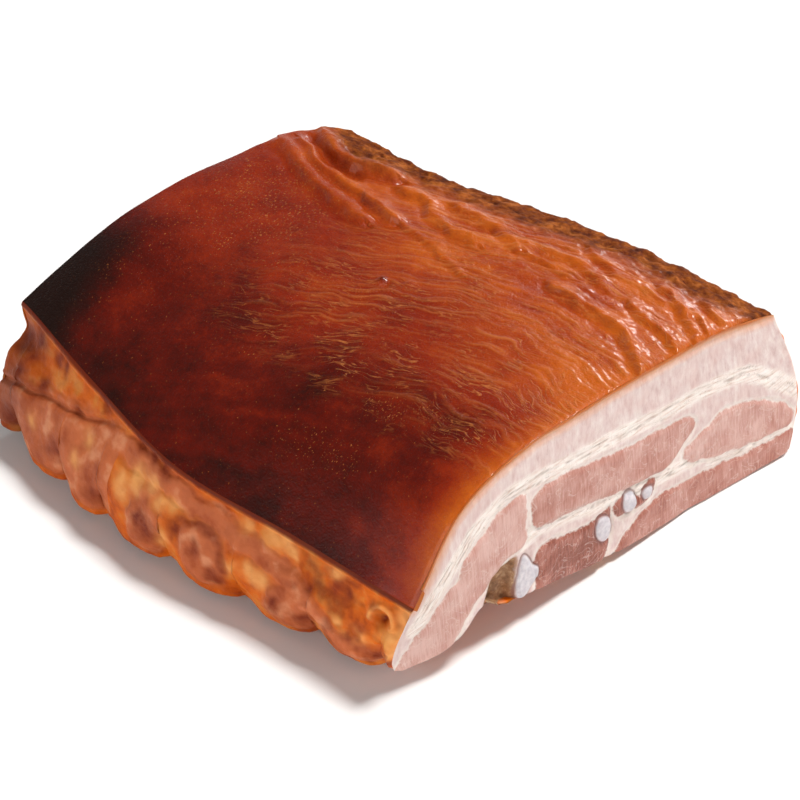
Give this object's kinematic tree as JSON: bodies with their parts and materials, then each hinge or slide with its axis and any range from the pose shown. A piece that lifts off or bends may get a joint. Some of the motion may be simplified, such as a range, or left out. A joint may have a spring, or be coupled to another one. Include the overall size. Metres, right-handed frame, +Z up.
{
  "type": "pork belly",
  "caption": "Thick slab of smoked pork belly, rind side up, one end freshly cut to show fat, streaky meat and rib cartilage.",
  "frame": {"origin": "middle of the footprint, on the surface that the slab rests on", "axes": "+Z up through the rind, +X along the smoked lower edge towards the fresh cut, +Y from that thin edge to the thick back edge"},
  "size_m": [0.2112, 0.208, 0.0772],
  "materials": {
    "smoked_pork": "glossy smoked rind over fat and meat"
  },
  "bodies": {
    "root": {"pork_belly": "smoked_pork"}
  },
  "joints": []
}
